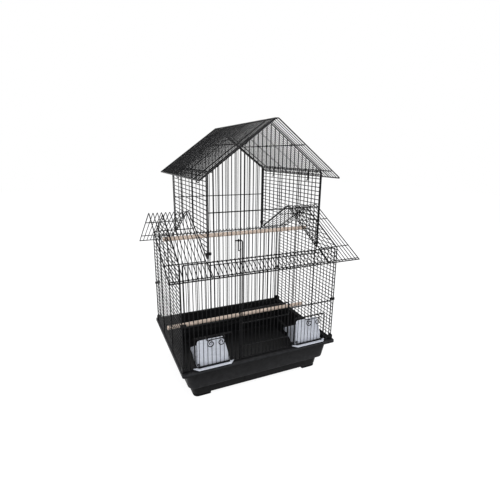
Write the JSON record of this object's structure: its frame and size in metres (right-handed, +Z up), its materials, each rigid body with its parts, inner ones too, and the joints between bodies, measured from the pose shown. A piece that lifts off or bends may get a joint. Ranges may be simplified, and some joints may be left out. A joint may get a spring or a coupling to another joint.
{
  "type": "bird cage",
  "caption": "Pagoda bird cage with a gabled tower on a gabled base, a lift door, feeder doors with cups, wooden perches and a deep pan.",
  "frame": {"origin": "centre of the footprint, level with the soles of the pan's feet", "axes": "+Z up, +X to the cage's right as seen from its front, the front with the door faces -Y"},
  "size_m": [0.5268, 0.446, 0.7173],
  "materials": {
    "black_wire": "semi-gloss black powder coat",
    "black_pan": "fine textured black",
    "black_clip": "smooth black",
    "white_cup": "smooth white",
    "perch_wood": "bare sanded dowel"
  },
  "bodies": {
    "cage": {"base_front_panel": "black_wire", "base_back_panel": "black_wire", "base_left_panel": "black_wire", "base_right_panel": "black_wire", "tower_front_panel": "black_wire", "tower_back_panel": "black_wire", "tower_left_panel": "black_wire", "tower_right_panel": "black_wire", "lower_roof_left": "black_wire", "lower_roof_right": "black_wire", "front_skirt_roof": "black_wire", "back_skirt_roof": "black_wire", "upper_roof_left": "black_wire", "upper_roof_right": "black_wire", "base_pan": "black_pan", "feeder_cup_left": "white_cup", "feeder_cup_right": "white_cup", "upper_perch": "perch_wood", "lower_perch": "perch_wood", "middle_clip_front_left": "black_clip", "middle_clip_front_right": "black_clip", "middle_clip_back_right": "black_clip", "middle_clip_back_left": "black_clip", "tower_clip_front_left": "black_clip", "tower_clip_front_right": "black_clip", "tower_clip_back_right": "black_clip", "tower_clip_back_left": "black_clip", "corner_stop_front_left": "black_clip", "corner_stop_front_right": "black_clip", "corner_stop_back_right": "black_clip", "corner_stop_back_left": "black_clip", "roof_hook_front_left": "black_wire", "roof_hook_front_right": "black_wire", "roof_hook_back_right": "black_wire", "roof_hook_back_left": "black_wire"},
    "door": {"front_door": "black_wire", "door_guide_low_left": "black_wire", "door_guide_high_left": "black_wire", "door_guide_low_right": "black_wire", "door_guide_high_right": "black_wire", "door_lift_rod": "black_wire"},
    "hook": {"door_catch_hook": "black_wire"},
    "left_feeder_door": {"feeder_door_left": "black_wire", "feeder_guide_left_inner": "black_wire", "feeder_guide_left_outer": "black_wire", "feeder_pull_left": "black_wire"},
    "right_feeder_door": {"feeder_door_right": "black_wire", "feeder_guide_right_inner": "black_wire", "feeder_guide_right_outer": "black_wire", "feeder_pull_right": "black_wire"}
  },
  "joints": [
    {"name": "door_lift", "type": "slide", "parent": "cage", "child": "door", "axis": [0, 0, 1], "range_m": [0, 0.097]},
    {"name": "hook_swing", "type": "hinge", "parent": "door", "child": "hook", "pos_m": [-0.0811, -0.1772, 0.433], "axis": [-1, 0, 0], "range_deg": [0, 100]},
    {"name": "left_feeder_lift", "type": "slide", "parent": "cage", "child": "left_feeder_door", "axis": [0, 0, 1], "range_m": [0, 0.07]},
    {"name": "right_feeder_lift", "type": "slide", "parent": "cage", "child": "right_feeder_door", "axis": [0, 0, 1], "range_m": [0, 0.07]}
  ]
}
